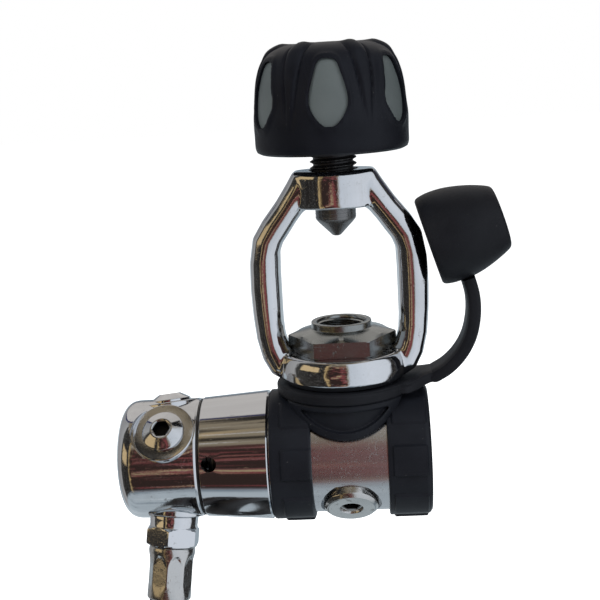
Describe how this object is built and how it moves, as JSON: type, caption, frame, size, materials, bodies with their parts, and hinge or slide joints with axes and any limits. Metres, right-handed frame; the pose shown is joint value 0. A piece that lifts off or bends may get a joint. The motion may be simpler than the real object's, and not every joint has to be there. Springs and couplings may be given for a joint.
{
  "type": "scuba regulator set",
  "caption": "Piston first stage on a yoke clamp with a hand knob, swivel turret of low-pressure ports, rubber bumper boot, strapped dust cap and one coiled hose with its swivel nut",
  "frame": {"origin": "Centre of the inlet's sealing face, the flat top of the retainer's spigot", "axes": "+Z out of the inlet towards the clamp screw, along the screw's axis; +X along the body away from the turret; the plain high-pressure port and the first low-pressure plug face -Y"},
  "size_m": [0.1161, 0.148, 0.318],
  "materials": {
    "chrome_plate": "polished chrome plate on brass",
    "satin_nickel": "satin nickel plate, worn by the valve",
    "crimped_steel": "plated steel sleeve, crimped in long flats",
    "stainless": "turned stainless steel",
    "spring_steel": "drawn spring wire",
    "black_screw": "blackened brass thread, bare at the tip",
    "bare_brass": "turned brass",
    "sintered_bronze": "sintered bronze grains",
    "seat_plastic": "turned hard plastic",
    "o_ring_rubber": "smooth moulded rubber, lightly greased",
    "boot_rubber": "satin moulded rubber",
    "cap_rubber": "matt moulded rubber",
    "knob_rubber": "soft-touch moulded rubber",
    "knob_insert": "grey moulded plastic",
    "hose_rubber": "extruded rubber with a faint cloth pattern",
    "tie_strap": "woven hook-and-loop strap"
  },
  "bodies": {
    "first_stage": {"main_body": "chrome_plate", "seat_retainer": "chrome_plate", "valve_seat": "seat_plastic", "seat_retainer_o_ring": "o_ring_rubber", "stem_o_ring": "o_ring_rubber", "piston_cap": "chrome_plate", "piston_cap_o_ring": "o_ring_rubber", "turret_bolt": "chrome_plate", "turret_washer": "bare_brass", "turret_o_rings": "o_ring_rubber", "main_spring": "spring_steel", "bumper_boot": "boot_rubber", "yoke": "chrome_plate", "inlet_retainer": "satin_nickel", "retainer_o_ring": "o_ring_rubber", "inlet_filter": "sintered_bronze", "filter_clip": "spring_steel", "gauge_plugs": "chrome_plate", "gauge_plug_o_rings": "o_ring_rubber"},
    "piston_group": {"piston": "stainless", "piston_head_o_ring": "o_ring_rubber"},
    "clamp_screw": {"yoke_screw": "black_screw"},
    "clamp_knob": {"knob_shell": "knob_rubber", "knob_inserts": "knob_insert", "knob_hub": "bare_brass", "knob_bolt": "stainless", "knob_cap": "knob_rubber"},
    "turret_group": {"turret": "chrome_plate", "seam_ring": "o_ring_rubber", "lp_plugs": "chrome_plate", "lp_plug_o_rings": "o_ring_rubber", "hose_fitting": "chrome_plate", "hose_fitting_o_ring": "o_ring_rubber", "hose_ferrule": "crimped_steel", "hose_lead": "hose_rubber", "hose_coil": "hose_rubber", "hose_tail": "hose_rubber", "coil_ties": "tie_strap", "far_ferrule": "crimped_steel", "far_stem": "chrome_plate", "far_stem_o_ring": "o_ring_rubber"},
    "hose_nut": {"swivel_nut": "chrome_plate"},
    "strap": {"strap_ring": "cap_rubber"},
    "cap": {"cap_strap": "cap_rubber", "dust_cap": "cap_rubber"}
  },
  "joints": [
    {"name": "piston_stroke", "type": "slide", "parent": "first_stage", "child": "piston_group", "axis": [1, 0, 0], "range_m": [0, 0.0011], "stiffness_N_per_m": 30000, "deforming": ["main_spring"]},
    {"name": "screw_travel", "type": "slide", "parent": "first_stage", "child": "clamp_screw", "axis": [0, 0, 1], "range_m": [-0.0045, 0.006]},
    {"name": "knob_turn", "type": "hinge", "parent": "clamp_screw", "child": "clamp_knob", "pos_m": [0, 0, 0.06], "axis": [0, 0, 1], "range_deg": [-1100, 1460]},
    {"name": "turret_swivel", "type": "hinge", "parent": "first_stage", "child": "turret_group", "pos_m": [-0.05, 0, -0.0396], "axis": [1, 0, 0], "continuous": true},
    {"name": "hose_nut_swivel", "type": "hinge", "parent": "turret_group", "child": "hose_nut", "pos_m": [-0.041, 0.07, -0.231], "axis": [0, 1, 0], "continuous": true},
    {"name": "strap_swivel", "type": "hinge", "parent": "first_stage", "child": "strap", "pos_m": [0, 0, -0.0176], "axis": [0, 0, 1], "range_deg": [-90, 90]},
    {"name": "cap_flex", "type": "hinge", "parent": "strap", "child": "cap", "pos_m": [0.0264, 0, -0.0168], "axis": [0, 1, 0], "range_deg": [0, 65], "stiffness_Nm_per_rad": 0.15}
  ],
  "couplings": [
    {"joint": "knob_turn", "follows": "screw_travel", "rad_per_m": 4188.8}
  ]
}
